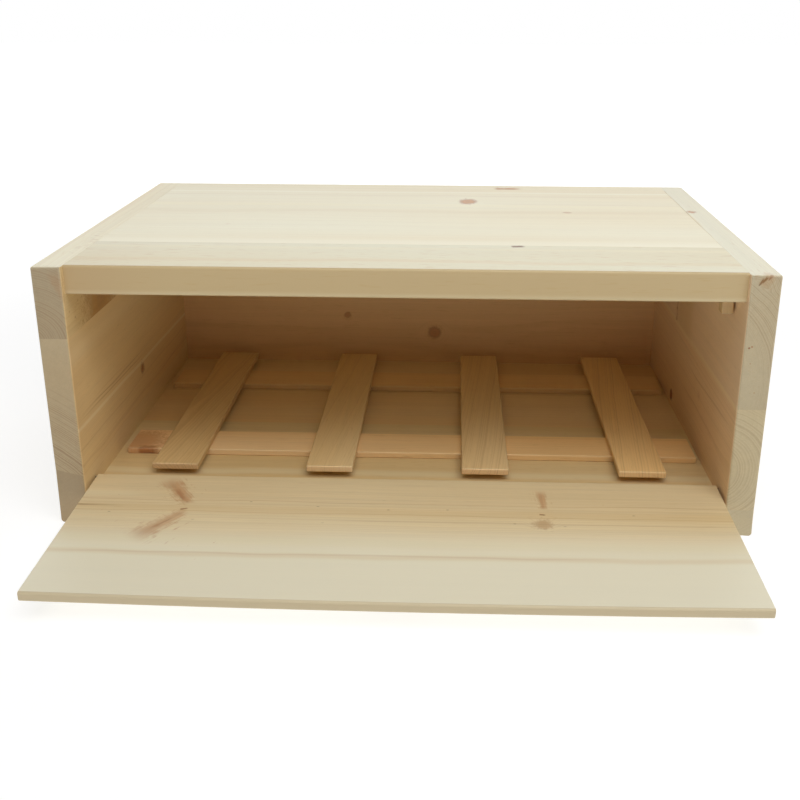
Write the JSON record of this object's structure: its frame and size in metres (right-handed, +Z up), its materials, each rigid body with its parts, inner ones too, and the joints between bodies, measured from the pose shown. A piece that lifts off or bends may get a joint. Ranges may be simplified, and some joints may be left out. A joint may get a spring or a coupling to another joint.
{
  "type": "bread box",
  "caption": "Wooden bread box with a drop-down front flap turning on pins, a stop block that the closed flap leans on, and a loose slatted rack that keeps bread off the floor panel.",
  "frame": {"origin": "centre of the carcass's footprint, on the surface that the box stands on", "axes": "+X to the box's right as seen from the front, +Y to its back, +Z up; the flap lies open towards -Y"},
  "size_m": [0.44, 0.3852, 0.17],
  "materials": {
    "pine_panel": "planed pine, bare, edges eased",
    "pine_flap": "planed pine, bare, fine lengthwise grain",
    "pine_rack": "planed pine slats, bare, edges eased",
    "beech": "turned hardwood, smooth and bare",
    "steel": "drawn steel wire, satin"
  },
  "bodies": {
    "carcass": {"left_side_lower_board": "pine_panel", "left_side_middle_board": "pine_panel", "left_side_upper_board": "pine_panel", "right_side_lower_board": "pine_panel", "right_side_middle_board": "pine_panel", "right_side_upper_board": "pine_panel", "top_front_board": "pine_panel", "top_rear_board": "pine_panel", "floor_front_board": "pine_panel", "floor_rear_board": "pine_panel", "back_lower_board": "pine_panel", "back_upper_board": "pine_panel", "stop_block": "pine_panel", "top_left_dowels": "beech", "top_right_dowels": "beech", "floor_left_dowels": "beech", "floor_right_dowels": "beech", "back_left_dowels": "beech", "back_right_dowels": "beech", "top_back_dowels": "beech", "floor_back_dowels": "beech", "left_hinge_pin": "steel", "right_hinge_pin": "steel"},
    "flap": {"flap_board": "pine_flap", "flap_knob": "beech"},
    "rack": {"rack_front_rail": "pine_rack", "rack_rear_rail": "pine_rack", "rack_cross_slat_1": "pine_rack", "rack_cross_slat_2": "pine_rack", "rack_cross_slat_3": "pine_rack", "rack_cross_slat_4": "pine_rack"}
  },
  "joints": [
    {"name": "flap_hinge", "type": "hinge", "parent": "carcass", "child": "flap", "pos_m": [0, -0.1185, 0.0218], "axis": [-1, 0, 0], "range_deg": [0, 93.1]},
    {"name": "rack_lift", "type": "slide", "parent": "carcass", "child": "rack", "axis": [0, 0, 1], "range_m": [0, 0.1]}
  ]
}
